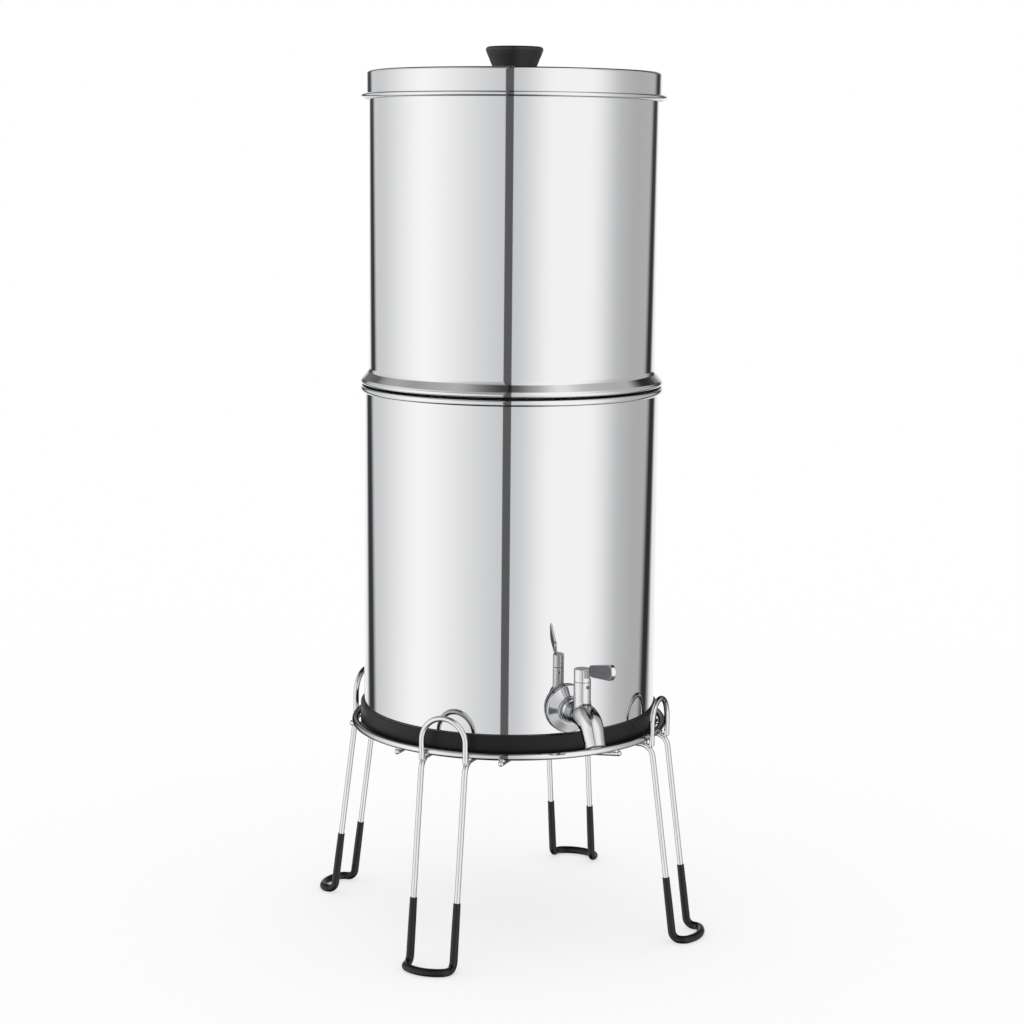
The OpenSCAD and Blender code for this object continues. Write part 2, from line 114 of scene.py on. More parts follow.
def rounded(corners, steps=7, hug=0.25, closed=False):
    """A polyline whose corners (a, b, radius) become arcs, each tangent to both of its sides.

    The arc's centre lies on the corner's bisector at radius / sin(half angle). A point is added just
    before and after each corner, so that shading stays flat on the sides.
    """
    pts = np.array([c[:2] for c in corners], float)
    out = []
    n = len(corners)
    for i, corner in enumerate(corners):
        radius = corner[2] if len(corner) > 2 else 0.0
        p, before, after = pts[i], pts[(i - 1) % n] - pts[i], pts[(i + 1) % n] - pts[i]
        l1, l2 = np.hypot(*before), np.hypot(*after)
        d1, d2 = before / l1, after / l2
        turn, reach = [p], 0.0
        if radius > 0:
            half = math.acos(np.clip(np.dot(d1, d2), -1, 1)) / 2
            reach = min(radius / math.tan(half), 0.49 * l1, 0.49 * l2)
            radius = reach * math.tan(half)
            centre = p + (d1 + d2) / np.hypot(*(d1 + d2)) * radius / math.sin(half)
            a1 = math.atan2(*(p + d1 * reach - centre)[::-1])
            a2 = math.atan2(*(p + d2 * reach - centre)[::-1])
            sweep = (a2 - a1 + math.pi) % TURN - math.pi
            angles = a1 + sweep * np.linspace(0, 1, steps + 1)
            turn = centre + radius * np.stack([np.cos(angles), np.sin(angles)], -1)
        if (closed or i > 0) and l1 > 2 * (reach + hug):
            out.append(p + d1 * (reach + hug))
        out.extend(turn)
        if (closed or i < n - 1) and l2 > 2 * (reach + hug):
            out.append(p + d2 * (reach + hug))
    return np.array(out)


def arc(cx, cy, radius, start, end, steps):
    """Points of a circle's arc from angle start to end, in degrees."""
    a = np.radians(np.linspace(start, end, steps + 1))
    return np.stack([cx + radius * np.cos(a), cy + radius * np.sin(a)], -1)


def lathe(profile, segments, closed=False):
    """Surface of revolution: (r cos t, r sin t, z) for profile points (r, z) and t round a turn.

    The profile runs anticlockwise seen with r to the right and z up. A first or last point on the axis
    becomes a pole.
    """
    profile = np.asarray(profile, float)
    first = profile[0] if not closed and profile[0, 0] < 1e-6 else None
    last = profile[-1] if not closed and profile[-1, 0] < 1e-6 else None
    body = profile[(first is not None):len(profile) - (last is not None)]
    t = np.linspace(0, TURN, segments, endpoint=False)
    rings = np.stack([body[:, :1] * np.cos(t), body[:, :1] * np.sin(t),
                      np.repeat(body[:, 1:], segments, 1)], -1)
    pole = lambda p: None if p is None else [[0.0, 0.0, p[1]]]
    return closed_grid(rings, pole(first), pole(last), wrap_rows=closed)


def unit(v):
    """Vectors divided by their own length."""
    return v / np.linalg.norm(v, axis=-1, keepdims=True)


def frames(path, side):
    """Two unit vectors across a path at every point: one nearest to side, and the one square to it."""
    tangent, side = unit(np.gradient(path, axis=0)), np.asarray(side, float)
    n = np.empty_like(path)
    n[0] = unit(side - np.dot(side, tangent[0]) * tangent[0])
    for i in range(1, len(path)):
        n[i] = unit(n[i - 1] - np.dot(n[i - 1], tangent[i]) * tangent[i])
    return n, np.cross(tangent, n)


def rings_round(path, radius, n, b, sides):
    """Rings of points P + r (cos f N + sin f B) round every path point P, f round a turn."""
    f = np.linspace(0, TURN, sides, endpoint=False)[None, :, None]
    return path[:, None] + radius[:, None, None] * (np.cos(f) * n[:, None] + np.sin(f) * b[:, None])


def rod(path, radius, end, side=(0, 0, 1), sides=24):
    """Solid wire along a path, its ends rounded over on radius end."""
    t0, t1 = unit(path[0] - path[1]), unit(path[-1] - path[-2])
    a = np.radians(np.linspace(90, 8, 7))
    push, shrink = end * np.cos(a), end * (1 - np.sin(a))
    head = path[0] + t0 * (push[::-1, None] - end)
    tail = path[-1] + t1 * (push[:, None] - end)
    inner = path[1:-1]
    whole = np.vstack([head, inner, tail])
    radii = np.concatenate([radius - shrink[::-1], np.full(len(inner), radius), radius - shrink])
    rings = rings_round(whole, radii, *frames(whole, side), sides)
    return closed_grid(rings, [path[0]], [path[-1]])


def pipe(path, r_out, r_in, side, sides):
    """Hollow sleeve: out along a path on r_out, over a rounded lip and back on r_in, at both ends.

    r_out has a number for each point of the path.
    """
    n, b = frames(path, side)
    t0, t1 = unit(path[0] - path[1]), unit(path[-1] - path[-2])
    a = np.radians(np.linspace(0, 180, 9))[1:-1]

    def lip(end, direction, radius):
        mid, half = (radius + r_in) / 2, (radius - r_in) / 2
        return end + direction * half * np.sin(a)[:, None], mid + half * np.cos(a)

    k = len(a)
    tail, tail_r = lip(path[-1], t1, r_out[-1])
    head, head_r = lip(path[0], t0, r_out[0])
    rows = [(path, r_out, n, b), (tail, tail_r, np.tile(n[-1], (k, 1)), np.tile(b[-1], (k, 1))),
            (path[::-1], np.full(len(path), r_in), n[::-1], b[::-1]),
            (head[::-1], head_r[::-1], np.tile(n[0], (k, 1)), np.tile(b[0], (k, 1)))]
    centre, radius, n, b = (np.concatenate([r[i] for r in rows]) for i in range(4))
    return closed_grid(rings_round(centre, radius, n, b, sides), wrap_rows=True)


def blob(centre, axes, rows=10, cols=16):
    """Ellipsoid: centre plus three half axes times the unit sphere's latitude and longitude points."""
    lat = np.linspace(-90, 90, rows + 1)[1:-1]
    lat, lon = np.radians(lat)[:, None], np.linspace(0, TURN, cols, endpoint=False)[None]
    ball = np.stack([np.cos(lat) * np.cos(lon), np.cos(lat) * np.sin(lon), np.sin(lat) + 0 * lon], -1)
    axes = np.asarray(axes, float)
    centre = np.asarray(centre, float)
    return closed_grid(centre + ball @ axes, [centre - axes[2]], [centre + axes[2]])


def moved(skin, matrix):
    """A skin with its points turned and shifted by a 4 by 4 matrix."""
    points, faces = skin
    m = np.array(matrix)
    return points @ m[:3, :3].T + m[:3, 3], faces


def spun(skin, degrees):
    """A skin turned about the vertical axis."""
    return moved(skin, Matrix.Rotation(math.radians(degrees), 4, "Z"))


def shifted(skin, x, y, z):
    """A skin moved by x, y and z."""
    return moved(skin, Matrix.Translation((x, y, z)))


# The tap's own frame: s out of the wall, w to the side, z up
TAP = Matrix(((0, 1, 0, 0), (-1, 0, 0, 0), (0, 0, 1, 0), (0, 0, 0, 1)))
# A shape lathed round +Z laid along the tap's centre line, its z becoming s
ALONG_TAP = TAP @ Matrix.Translation((0, 0, TAP_Z)) @ Matrix.Rotation(math.radians(90), 4, "Y")


def piece(name, skin, material, body, slot, *nodes):
    """Makes one finished object from a skin in millimetres, puts it under its body and hides the CAD nodes it
    replaces.
    """
    points, faces = skin
    mesh = bpy.data.meshes.new(name)
    mesh.from_pydata((np.asarray(points) * MM).tolist(), [], faces)
    mesh.polygons.foreach_set("use_smooth", np.ones(len(mesh.polygons), bool))
    mesh.materials.append(material)
    mesh.update()
    obj = bpy.data.objects.new(name, mesh)
    bpy.context.scene.collection.objects.link(obj)
    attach(obj, body)
    if nodes:
        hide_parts(*nodes)


# ---- materials ----

# Most of a noise texture's values lie between these two
NOISE_SPAN = {"From Min": 0.3, "From Max": 0.7}


def linear(hex_colour):
    """sRGB hex to linear RGBA: c / 12.92 up to 0.04045, and ((c + 0.055) / 1.055) ^ 2.4 above it."""
    c = np.array([int(hex_colour[i:i + 2], 16) for i in (0, 2, 4)]) / 255
    c = np.where(c <= 0.04045, c / 12.92, ((c + 0.055) / 1.055) ** 2.4)
    return (*c.tolist(), 1.0)


def output_of(source):
    """A node's first output that is in use; a socket or a value as it is."""
    return next(o for o in source.outputs if o.enabled) if isinstance(source, bpy.types.Node) else source


def add(tree, kind, inputs=(), **settings):
    """Adds one shader node: settings are its properties, and inputs are given by name or in their order.

    An input is a value, or the node or socket that feeds it.
    """
    made = tree.nodes.new("ShaderNode" + kind)
    for key, value in settings.items():
        setattr(made, key, value)
    for key, value in inputs.items() if isinstance(inputs, dict) else enumerate(inputs):
        source = output_of(value)
        if isinstance(source, bpy.types.NodeSocket):
            tree.links.new(source, made.inputs[key])
        else:
            made.inputs[key].default_value = source
    return made


def feed(tree, shader, **sources):
    """Links nodes to the shader's inputs, each named with _ for a space."""
    for key, source in sources.items():
        tree.links.new(output_of(source), shader.inputs[key.replace("_", " ")])


def finish_of(name, colour, metallic, roughness, **more):
    """A material with a Principled shader at typical values; returns it with its tree and shader."""
    material = bpy.data.materials.new(name)
    material.use_nodes = True
    tree = material.node_tree
    shader = next(n for n in tree.nodes if n.type == "BSDF_PRINCIPLED")
    shader.inputs["Base Color"].default_value = linear(colour)
    shader.inputs["Metallic"].default_value = metallic
    shader.inputs["Roughness"].default_value = roughness
    for key, value in more.items():
        shader.inputs[key.replace("_", " ")].default_value = value
    return material, tree, shader


def grain(tree, shader, scale, roughness, spread, bump=0.0, distance=0.0, stretch=(1, 1, 1)):
    """Noise in object space that shifts the roughness by spread and lifts the surface by distance.

    Its grains are 1 / scale metres wide, divided by stretch along each axis. Returns the noise and the
    roughness made from it.
    """
    coords = add(tree, "TexCoord")
    placed = add(tree, "Mapping", {"Vector": coords.outputs["Object"], "Scale": stretch})
    noise = add(tree, "TexNoise", {"Vector": placed, "Scale": scale, "Detail": 3.0})
    level = add(tree, "MapRange",
                {"Value": noise, **NOISE_SPAN, "To Min": roughness - spread, "To Max": roughness + spread})
    feed(tree, shader, Roughness=level)
    if bump:
        lift = add(tree, "Bump", {"Height": noise, "Strength": bump, "Distance": distance})
        feed(tree, shader, Normal=lift)
    return noise, level


def polished_sheet():
    """Bright-annealed stainless sheet, spun and mirror polished: the wheel leaves faint rings every 1.5 mm
    that only show as a slight change of gloss. The seam between the two chambers is made rough and painted
    dark, a painted shade for its unlit gap: fully within 0.75 mm of the seam's height, not at all from 1.05
    mm on. Inside, where the surface's normal points at the axis, the sheet keeps its satin mill finish."""
    # 29292B is painted shade for the unlit seam between the two chambers
    bright, seam_painted_shade = "D6D7D9", "29292B"
    seam_z, seam_half, seam_soft = (RIM_TOP + 0.35) * MM, 0.75 * MM, 1.05 * MM
    seam_rough, satin_rough, satin_metal = 0.5, 0.42, 0.6
    material, tree, shader = finish_of("stainless_mirror_polished", bright, 1.0, 0.03)
    gloss = grain(tree, shader, 60.0, 0.035, 0.012, stretch=(1, 1, 11))[1]
    coords = add(tree, "TexCoord")
    height = add(tree, "SeparateXYZ", [coords.outputs["Object"]]).outputs["Z"]
    seam = add(tree, "Math", [height, seam_z], operation="SUBTRACT")
    away = add(tree, "Math", [seam], operation="ABSOLUTE")
    rough_painted_seam = add(tree, "MapRange", {"Value": away, "From Min": seam_soft, "From Max": seam_half})
    rough = add(tree, "Mix", {"Factor": rough_painted_seam, "A": gloss, "B": seam_rough}, data_type="FLOAT")
    level = add(tree, "VectorMath", [coords.outputs["Object"], (1, 1, 0)], operation="MULTIPLY")
    outward = add(tree, "VectorMath", [level, coords.outputs["Normal"]], operation="DOT_PRODUCT")
    inside = add(tree, "MapRange", {"Value": outward, "From Min": -0.03, "From Max": -0.09})
    rough = add(tree, "Mix", {"Factor": inside, "A": rough, "B": satin_rough}, data_type="FLOAT")
    metal = add(tree, "Mix", {"Factor": inside, "A": 1.0, "B": satin_metal}, data_type="FLOAT")
    # The seam's near-black base colour is painted shade for the gap between the chambers
    tint = add(tree, "Mix", {"Factor": rough_painted_seam, "A": linear(bright), "B": linear(seam_painted_shade)}, data_type="RGBA")
    feed(tree, shader, Roughness=rough, Metallic=metal, Base_Color=tint)
    return material


def chrome_plate():
    """Bright chromium on a polished casting, with the orange peel of the casting, 4 mm wide. At a grazing
    angle the plating's edge goes dark."""
    material, tree, shader = finish_of("chromium_plated_bright", "CFD0D2", 1.0, 0.04,
                                       Specular_Tint=(0.08, 0.08, 0.085, 1))
    grain(tree, shader, 250.0, 0.04, 0.012, 0.02, 0.0001)
    return material


def chrome_wire():
    """Bright chromium on drawn wire: smoother than the casting, and darker towards its grazing edges."""
    material, tree, shader = finish_of("chromium_plated_wire", "D4D5D7", 1.0, 0.035,
                                       Specular_Tint=(0.06, 0.06, 0.065, 1))
    grain(tree, shader, 250.0, 0.035, 0.01)
    return material


def brushed_chrome_painted_dark():
    """Chromium on the lever's blade, brushed on its flats with lines 0.3 mm apart along it. The flats' dark
    grey is painted dark reflection; their edges, the neck and the cap stay bright. The flat is where the
    surface faces sideways, 14 mm or more from the valve. The lines run up the blade's slope of 11 degrees."""
    bright, bright_rough, flat_rough = "D4D5D7", 0.06, 0.34
    flat_start, slope = -(VALVE_S + 13.7) * MM, math.radians(-11)
    material, tree, shader = finish_of("chromium_plated_brushed_painted_dark", bright, 1.0, bright_rough,
                                       Specular_Tint=(0.3, 0.3, 0.31, 1))
    coords = add(tree, "TexCoord")
    facing = add(tree, "SeparateXYZ", [coords.outputs["Normal"]]).outputs["X"]
    facing = add(tree, "Math", [facing], operation="ABSOLUTE")
    flat = add(tree, "MapRange", {"Value": facing, "From Min": 0.9, "From Max": 0.985})
    along = add(tree, "SeparateXYZ", [coords.outputs["Object"]]).outputs["Y"]
    blade = add(tree, "Math", [along, flat_start], operation="LESS_THAN")
    flat = add(tree, "Math", [flat, blade], operation="MULTIPLY")
    placed = add(tree, "Mapping",
                 {"Vector": coords.outputs["Object"], "Rotation": (slope, 0, 0), "Scale": (1, 0.02, 1)})
    lines = add(tree, "TexNoise", {"Vector": placed, "Scale": 3000.0, "Detail": 2.0})
    # 6E6F72 to 939498 is painted dark reflection on the blade's flats, broken up by the brushed lines
    painted_dark_reflection = add(tree, "Mix", {"Factor": lines, "A": linear("6E6F72"), "B": linear("939498")},
                data_type="RGBA")
    tint = add(tree, "Mix", {"Factor": flat, "A": linear(bright), "B": painted_dark_reflection}, data_type="RGBA")
    rough = add(tree, "Mix", {"Factor": flat, "A": bright_rough, "B": flat_rough}, data_type="FLOAT")
    feed(tree, shader, Roughness=rough, Base_Color=tint)
    return material


def pressed_carbon():
    """Sintered carbon block: matt charcoal of 0.5 mm grains with brighter flakes."""
    material, tree, shader = finish_of("carbon_sintered", "2B2C2E", 0.0, 0.85)
    noise = grain(tree, shader, 1800.0, 0.85, 0.1, 0.6, 0.0004)[0]
    flakes = add(tree, "MapRange", {"Value": noise, "From Min": 0.55, "From Max": 0.75})
    tint = add(tree, "Mix", {"Factor": flakes, "A": linear("242527"), "B": linear("47494C")},
               data_type="RGBA")
    feed(tree, shader, Base_Color=tint)
    return material


def grained(name, colour, metallic, roughness, grains, stretch=(1, 1, 1), **more):
    """A plain finish; grains holds its noise's scale, spread of roughness, bump and height of the bump."""
    scale, spread, bump, distance = grains
    material, tree, shader = finish_of(name, colour, metallic, roughness, **more)
    grain(tree, shader, scale, roughness, spread, bump, distance, stretch)
    return material


SHEET = polished_sheet()
CHROME = chrome_plate()
WIRE = chrome_wire()
BRUSHED_PAINTED_DARK = brushed_chrome_painted_dark()
CARBON = pressed_carbon()
# Turned and tumbled stainless of screws and nuts, with tool marks about 1 mm apart
STEEL = grained("stainless_turned", "B9BABD", 1.0, 0.28, (900.0, 0.08, 0.15, 0.0001))
# Blackened steel of the small pin and grub screw, slightly uneven in gloss
DARK_STEEL = grained("steel_blackened", "6A6B6D", 1.0, 0.3, (900.0, 0.08, 0.1, 0.0001))
# Compression-moulded black phenolic, its side turned: satin, with rings some 0.7 mm apart
PHENOLIC = grained("phenolic_moulded_black", "161617", 0.0, 0.36, (150.0, 0.07, 0.12, 0.0002), (1, 1, 9))
# Extruded EPDM rubber channel, black with a soft bloom and fine drag lines 0.4 mm apart along its length
RUBBER = grained("epdm_extruded", "0E0E0F", 0.0, 0.42, (500.0, 0.06, 0.08, 0.0001), (1, 1, 5),
                 Specular_IOR_Level=0.25)
# PVC plastisol dip on the feet: glossy black with slow waves from dripping, some 3 mm wide and 6 mm long
VINYL = grained("plastisol_dipped_black", "0B0B0C", 0.0, 0.3, (330.0, 0.05, 0.12, 0.0003), (1, 1, 0.5),
                Specular_IOR_Level=0.35)
# Injection-moulded black polypropylene with a fine spark-eroded grain
CAP = grained("polypropylene_black", "202123", 0.0, 0.45, (1500.0, 0.06, 0.15, 0.0001))
# Moulded natural nylon of the nuts and plugs: milky, a little waxy
NYLON = grained("nylon_natural", "E4E3DC", 0.0, 0.38, (900.0, 0.05, 0.08, 0.0001),
                Subsurface_Weight=0.15, Subsurface_Scale=0.002)
# Die-cut translucent silicone: milky grey, with a rubbery sheen
SILICONE = grained("silicone_die_cut", "C9CBCC", 0.0, 0.4, (700.0, 0.06, 0.06, 0.0001),
                   Subsurface_Weight=0.3, Subsurface_Scale=0.003)
# Turned brass of the valve plug and the insert, with tool rings 0.2 mm apart
BRASS = grained("brass_turned", "C9A35A", 1.0, 0.25, (800.0, 0.06, 0.1, 0.0001), (1, 1, 6))


def dress(material, *nodes):
    """Gives CAD nodes that stay in view their real finish."""
    for node in nodes:
        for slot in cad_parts[node].material_slots:
            slot.material = material


# ---- lid and chambers ----

def lid_skin():
    """Spun lid turned round the axis: flat top, rounded corner, wall, short web and a rolled bead.

    The bead is a circle that the web's two faces meet at the angle whose sine is web / bead.
    """
    web, bead, inner = 0.45, 1.85, LID_R - LID_T
    cr, cz = BEAD_R - bead, LID_BEAD_Z
    lift = math.degrees(math.asin(web / bead))
    left = cr - bead * math.cos(math.radians(lift))
    under = rounded([(0, LID_IN), (inner, LID_IN, 1.3), (inner, cz - web, 0.2), (left, cz - web)])
    crown = LID_TOP + 0.35
    over = rounded([(left, cz + web), (LID_R, cz + web, 0.3), (LID_R, crown, 2.2), (60, crown, 90),
                    (16, LID_TOP, 60), (0, LID_TOP)], 9)
    return lathe(np.vstack([under[:-1], arc(cr, cz, bead, -180 + lift, 180 - lift, 26), over[1:]]), 360)


def knob_skin():
    """Turned knob: a side that widens from the foot on a shallow curve, a rounded rim and a flat top."""
    foot = [[0, 0], [13.5, 0], [14.05, 0.25], [14.3, 0.8]]
    side = [[15.2, 2.3], [16.1, 4.2], [17.05, 6.4], [17.95, 8.6], [18.8, 10.6], [19.5, 12.2], [20.12, 13.7],
            [20.52, 14.9]]
    rim = arc(18.6, 16.1, 2.2, -22, 90, 14)
    profile = np.vstack([foot, side, rim, [[18.2, 18.3], [9, 18.3], [0, 18.3]]])
    return lathe(profile + [0, LID_TOP], 192)


def lower_chamber_skin():
    """Drawn pot: rounded bottom edge, straight wall and a rim rolled outwards, an ellipse in section."""
    wide, tall, inner = 1.95, 2.35, LOW_R - WALL
    cr, cz = inner + wide, RIM_TOP - 0.45 - tall
    start = -90 - math.degrees(math.asin((cr - LOW_R) / wide))
    join = cz + tall * math.sin(math.radians(start))
    outer = rounded([(0, LOW_Z), (LOW_R, LOW_Z, 7.0), (LOW_R, join)], 12)
    rim = (arc(0, 0, 1.0, start, 180, 26)) * [wide, tall] + [cr, cz]
    inside = rounded([(inner, cz), (inner, LOW_Z + WALL, 6.2), (0, LOW_Z + WALL)], 12)
    return lathe(np.vstack([outer, rim, inside[1:]]), 360)


def upper_chamber_skin():
    """Pot with a stepped foot that nests in the lower rim, a flared shoulder and a hemmed top edge."""
    z, nest = SHOULDER_Z, NEST_R
    foot = rounded([(0, FLOOR_Z), (nest, FLOOR_Z, 3.5), (nest, z, 0.4), (108.7, z, 0.5), (109.3, z + 0.75)])
    bead = arc(109.15, z + 2.55, 1.8, -75, 48, 12)
    flare = rounded([(110.4, z + 4.1), (110.0, z + 4.7, 0.5), (105.9, z + 9.6, 2.5), (UP_R, z + 11.8, 2.0),
                     (UP_R, UP_TOP - 1.5)], 8)
    hem = arc(UP_R - 0.1, UP_TOP - 0.75, 0.74, -75, 200, 14)
    inside = rounded([(UP_R - WALL, UP_TOP - 1.6), (UP_R - WALL, z + 9.0, 0.4), (nest - WALL, z + 8.4, 0.4),
                      (nest - WALL, FLOOR_Z + WALL, 2.7), (0, FLOOR_Z + WALL)])
    return lathe(np.vstack([foot, bead, flare[1:], hem, inside]), 360)


def base_ring_skin():
    """Rubber channel: an upstand outside the chamber's wall and a web that runs under its rounded edge."""
    inner, outer, top, gap = 98, 110.6, BASE_Z + 16.2, 0.06
    profile = rounded([(inner, BASE_Z, 0.5), (outer, BASE_Z, 0.9), (outer, top, 0.9), (LOW_R + gap, top, 0.5),
                       (LOW_R + gap, LOW_Z - gap, 7.0), (inner, LOW_Z - gap, 0.5)], 8, closed=True)
    return lathe(profile, 300, closed=True)


# ---- stand ----

def leg_half(inner_u, top=True):
    """Half of a leg's centre line at +v, in the leg's own plane u outwards, v sideways, z up.

    A level run, a quarter bend less the lean, a slanted run, a bend out along the floor and half of
    the toe, which is a 60 degree corner arc followed by 30 degrees of a wider one. Without top the line
    starts at the sleeve's upper edge.
    """
    lean = math.radians(LEG_LEAN)
    v, bend, foot, corner = LEG_PAIR / 2, 10.0, 6.0, 7.0
    reach = lambda z: LEG_REACH + (SLEEVE_TOP - z) * math.tan(lean)
    top_z = BAR_Z - bend * (1 - math.sin(lean))
    foot_z = SLEEVE_D / 2 + 0.01
    start_z = foot_z + foot * (1 - math.sin(lean))
    cu = reach(top_z) - bend * math.cos(lean)
    fu = reach(start_z) + foot * math.cos(lean)
    wide = corner + (v - corner) / math.cos(math.radians(60))
    tu = fu - (wide - corner) * math.sin(math.radians(60))
    side = []
    z = np.linspace(SLEEVE_TOP, start_z, 10)[:-1]
    if top:
        u = np.linspace(inner_u, cu, 10)[:-1]
        side = [np.stack([u, BAR_Z + 0 * u], -1), arc(cu, BAR_Z - bend, bend, 90, LEG_LEAN, 14)]
        z = np.linspace(top_z, start_z, 22)[1:-1]
    side += [np.stack([reach(z), z], -1), arc(fu, foot_z + foot, foot, 180 + LEG_LEAN, 270, 10)]
    toe = np.vstack([arc(fu, v - corner, corner, 90, 30, 10)[1:], arc(tu, 0, wide, 30, 0, 10)[1:]])
    return np.vstack([np.insert(np.vstack(side), 1, v, axis=1), np.insert(toe, 2, foot_z, axis=1)])


def both_halves(half):
    """The half path followed by its mirror image in v, walked back."""
    back = half[::-1][1:] * [1, -1, 1]
    return np.vstack([half, back])


def leg_skin(inner_u):
    """Bent wire: a circle carried along the leg's centre line, down one side, round the toe and up again."""
    return rod(both_halves(leg_half(inner_u)), WIRE_D / 2, end=0.6)


def sleeve_skin():
    """Dipped foot: the skin is thin at the top, where it ran off, and full from the foot's bend on."""
    path = both_halves(leg_half(0, top=False))
    radius = np.interp(path[:, 2], [3.0, 30.0, SLEEVE_TOP], [SLEEVE_D / 2, 2.82, 2.62])
    return pipe(path, radius, WIRE_D / 2 + 0.03, side=(0, 1, 0), sides=28)


def arch_skin():
    """Upright hoop: two legs joined by a half circle, standing on the leg's top bends."""
    v, u = LEG_PAIR / 2, RING_R + RING_D / 2 + WIRE_D / 2
    foot, crown = BAR_Z - 1, RING_Z + 26 - v
    z = np.linspace(foot, crown, 8)[:-1]
    turn = arc(0, crown, v, 0, 180, 36)
    path = np.vstack([np.stack([u + 0 * z, v + 0 * z, z], -1), np.insert(turn, 0, u, axis=1),
                      np.stack([u + 0 * z, -v + 0 * z, z[::-1]], -1)])
    return rod(path, WIRE_D / 2, end=0.8, side=(1, 0, 0))


def bar_skin(off, z, turn, rise=0.0):
    """Two wires at off on each side of the axis, their cut ends tumbled round.

    Past a corner on each side of the middle a wire climbs by rise per unit: its height is
    z + rise (d + sqrt(d^2 + 4)) / 2, with d the distance beyond that corner.
    """
    corner, end = 49, 1.7
    half = math.sqrt((RING_R + RING_D / 2 + end) ** 2 - off ** 2)
    x = np.linspace(-half, half, 60)
    d = np.abs(x) - corner
    height = z + rise * (d + np.sqrt(d ** 2 + 4)) / 2
    wires = [np.stack([x, side * off + 0 * x, height], -1) for side in (-1, 1)]
    return spun(joined(*(rod(wire, WIRE_D / 2, end) for wire in wires)), turn)


def weld_skin():
    """Flattened beads of metal where two wires cross or meet.

    Where a wire that lies v beside the axis crosses the ring, it is sqrt(ring radius^2 - v^2) out.
    """
    spots = []
    meet = (BAR_Z + RING_Z) / 2 - 0.3

    def spot(x, y, z, half_sizes, turn):
        spots.append(spun(blob((x, y, z), np.diag(half_sizes)), turn))

    for turn in LEG_TURNS.values():
        for v in (-LEG_PAIR / 2, LEG_PAIR / 2):
            spot(math.sqrt(RING_R ** 2 - v ** 2), v, meet, (2.6, 2.7, 1.5), turn)
            spot(RING_R + 3.4, v, BAR_Z - 0.6, (1.5, 2.3, 2.6), turn)
    for off, turn in ((BAR_OFF, 45.0), (BAR_OFF, 225.0), (BAR_LOW_OFF, 135.0), (BAR_LOW_OFF, -45.0)):
        for v in (-off, off):
            spot(math.sqrt(RING_R ** 2 - off ** 2), v, meet, (2.7, 2.6, 1.5), turn)
    for u in (-BAR_OFF, BAR_OFF):
        for v in (-BAR_LOW_OFF, BAR_LOW_OFF):
            spot(v, u, (BAR_Z + BAR_LOW_Z) / 2, (2.5, 2.5, 1.2), 45.0)
    return joined(*spots)


# ---- tap ----

def tap_point(s, w, z):
    """World point of tap coordinates: s out of the wall, w sideways, z up."""
    return np.stack(np.broadcast_arrays(w, -np.asarray(s, float), z), -1)


def spout_line():
    """Centre line of the body and the radius at each of its points.

    The line runs level out of the wall, bends down by turn degrees and ends in a straight tip. The radius
    follows set values at distances d from the cover plate, smoothed over 1.6 mm. Round the valve the
    line is lifted by exp(-((d - 22.4) / 4.6)^2) mm.
    """
    bend_s, bend, turn, tip = VALVE_S + 6.7, 13.0, 63, 11.2
    run = np.linspace(115.2, bend_s, 60)[:-1]
    level = np.stack([run, 0 * run + BODY_Z], -1)
    curve = arc(bend_s, BODY_Z - bend, bend, 90, 90 - turn, 30)
    d = np.array([math.cos(math.radians(turn)), -math.sin(math.radians(turn))])
    end = curve[-1] + d * np.linspace(0, tip, 14)[1:, None]
    line = np.vstack([level, curve, end])
    run = 0.2 + np.concatenate([[0], np.cumsum(np.hypot(*np.diff(line, axis=0).T))])
    spread = run[:, None] + np.linspace(-0.8, 0.8, 9)
    places = [0, 1.6, 2.6, 4, 6, 12, 16, 20, 24, 30, 34, 40, 45, 50]
    radii = [8.3, 8.2, 7.8, 7.2, 6.9, 6.9, 7.4, 8.2, 8.6, 8.6, 8.4, 7.9, 7.4, 7.15]
    radius = np.interp(spread, places, radii)
    line = line + line_up(line) * np.exp(-((run[:, None] - 22.4) / 4.6) ** 2)
    return line, radius.mean(1)


def line_up(line):
    """Unit vectors square to a centre line, on its upper side."""
    tangent = unit(np.gradient(line, axis=0))
    return np.stack([-tangent[:, 1], tangent[:, 0]], -1)


def spout_skin():
    """Cast body: circles round the centre line; at the mouth the wall turns over a small lip and runs back
    up the bore."""
    line, radius = spout_line()
    up = line_up(line)
    d = unit(line[-1] - line[-2])
    lip, mouth, bore = 0.5, radius[-1], 4.6
    a = np.radians(np.linspace(0, 90, 6))
    over = line[-1] - d * lip * (1 - np.sin(a))[:, None]
    into = line[-1] - d * lip * (1 - np.cos(a))[:, None]
    bore_rows = slice(4, 26)
    back = line[::-1][bore_rows]
    centre = np.vstack([line[:-2], over, into, back])
    r = np.concatenate([radius[:-2], mouth - lip * (1 - np.cos(a)), bore + lip * (1 - np.sin(a)),
                        np.full(len(back), bore)])
    up = np.vstack([up[:-2], np.tile(up[-1], (2 * len(a), 1)), up[::-1][bore_rows]])
    f = np.linspace(0, TURN, 72, endpoint=False)
    s = centre[:, :1] + r[:, None] * np.sin(f) * up[:, :1]
    z = centre[:, 1:] + r[:, None] * np.sin(f) * up[:, 1:]
    w = r[:, None] * np.cos(f) + 0 * s
    pole = tap_point(back[-1][0], 0.0, back[-1][1])
    start = tap_point(line[0][0], 0.0, line[0][1])
    return closed_grid(tap_point(s, w, z), [start], [pole])


